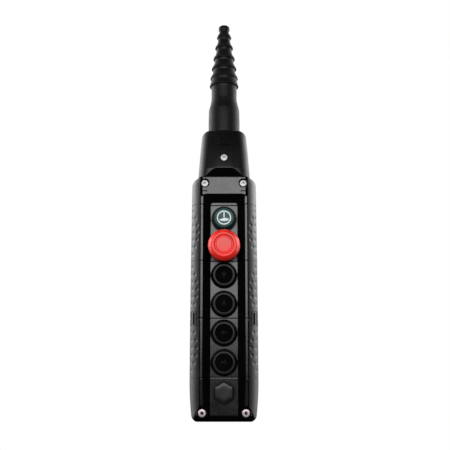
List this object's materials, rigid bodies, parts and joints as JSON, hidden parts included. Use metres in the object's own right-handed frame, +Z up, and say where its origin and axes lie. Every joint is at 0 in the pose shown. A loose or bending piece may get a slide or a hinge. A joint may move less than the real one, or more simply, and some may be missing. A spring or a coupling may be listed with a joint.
{
  "type": "hoist pendant control station",
  "caption": "Hanging push-button control station of an electric chain hoist: sunk button panel, start and direction buttons, emergency-stop mushroom, cable collar and stepped rubber sleeve.",
  "frame": {"origin": "mouth of the cable bore at the tip of the rubber sleeve, on the cable's axis", "axes": "+Z up along the cable, -Y towards the operator, X across the width"},
  "size_m": [0.0836, 0.0787, 0.5115],
  "materials": {
    "housing": "fine moulded grain with rows of shallow dimples",
    "cover": "satin moulded grain",
    "collar": "satin moulded grain",
    "rubber": "matt with a faint sheen",
    "screw": "bright zinc plate",
    "inner_plastic": "plain moulded",
    "plug": "plain moulded",
    "nut": "plated",
    "stop_red": "satin gloss",
    "white_plastic": "plain moulded",
    "bezel": "satin",
    "start_green": "satin gloss with a pale printed symbol",
    "button_black": "satin gloss",
    "spring": "drawn wire"
  },
  "bodies": {
    "root": {"rear_shell_upper": "housing", "rear_shell_lower": "housing", "housing_clips": "housing", "front_head": "cover", "front_module_upper": "cover", "front_module_middle": "cover", "front_module_lower": "cover", "front_foot": "cover", "cable_collar": "collar", "cable_sleeve": "rubber", "cover_gasket": "rubber", "plug_seal": "rubber", "bezel_seals": "rubber", "cover_screws": "screw", "collar_screw": "screw", "clamp_screws": "screw", "terminal_screws": "screw", "sleeve_ring": "inner_plastic", "clamp_saddle": "inner_plastic", "clamp_bar": "inner_plastic", "start_contact_block": "inner_plastic", "stop_contact_block": "inner_plastic", "up_contact_block": "inner_plastic", "down_contact_block": "inner_plastic", "left_contact_block": "inner_plastic", "right_contact_block": "inner_plastic", "blanking_plug": "plug", "lock_nuts": "nut", "stop_latch": "nut", "stop_collar": "bezel", "start_bezel": "bezel", "up_bezel": "bezel", "down_bezel": "bezel", "left_bezel": "bezel", "right_bezel": "bezel", "start_spring": "spring", "stop_spring": "spring", "up_spring": "spring", "down_spring": "spring", "left_spring": "spring", "right_spring": "spring"},
    "start_button": {"start_cap": "start_green", "start_plunger": "white_plastic"},
    "up_button": {"up_cap": "button_black", "up_plunger": "white_plastic"},
    "down_button": {"down_cap": "button_black", "down_plunger": "white_plastic"},
    "left_button": {"left_cap": "button_black", "left_plunger": "white_plastic"},
    "right_button": {"right_cap": "button_black", "right_plunger": "white_plastic"},
    "stop_slide": {"stop_stem": "white_plastic"},
    "stop_turn": {"stop_head": "stop_red"}
  },
  "joints": [
    {"name": "start_press", "type": "slide", "parent": "root", "child": "start_button", "axis": [0, 1, 0], "range_m": [0, 0.004], "stiffness_N_per_m": 600, "springref_m": -0.005, "deforming": ["start_spring"]},
    {"name": "up_press", "type": "slide", "parent": "root", "child": "up_button", "axis": [0, 1, 0], "range_m": [0, 0.004], "stiffness_N_per_m": 600, "springref_m": -0.005, "deforming": ["up_spring"]},
    {"name": "down_press", "type": "slide", "parent": "root", "child": "down_button", "axis": [0, 1, 0], "range_m": [0, 0.004], "stiffness_N_per_m": 600, "springref_m": -0.005, "deforming": ["down_spring"]},
    {"name": "left_press", "type": "slide", "parent": "root", "child": "left_button", "axis": [0, 1, 0], "range_m": [0, 0.004], "stiffness_N_per_m": 600, "springref_m": -0.005, "deforming": ["left_spring"]},
    {"name": "right_press", "type": "slide", "parent": "root", "child": "right_button", "axis": [0, 1, 0], "range_m": [0, 0.004], "stiffness_N_per_m": 600, "springref_m": -0.005, "deforming": ["right_spring"]},
    {"name": "stop_press", "type": "slide", "parent": "root", "child": "stop_slide", "axis": [0, 1, 0], "range_m": [0, 0.005], "deforming": ["stop_spring"]},
    {"name": "stop_twist", "type": "hinge", "parent": "stop_slide", "child": "stop_turn", "pos_m": [0, -0.04, -0.302], "axis": [0, 1, 0], "range_deg": [0, 40], "stiffness_Nm_per_rad": 0.05}
  ]
}
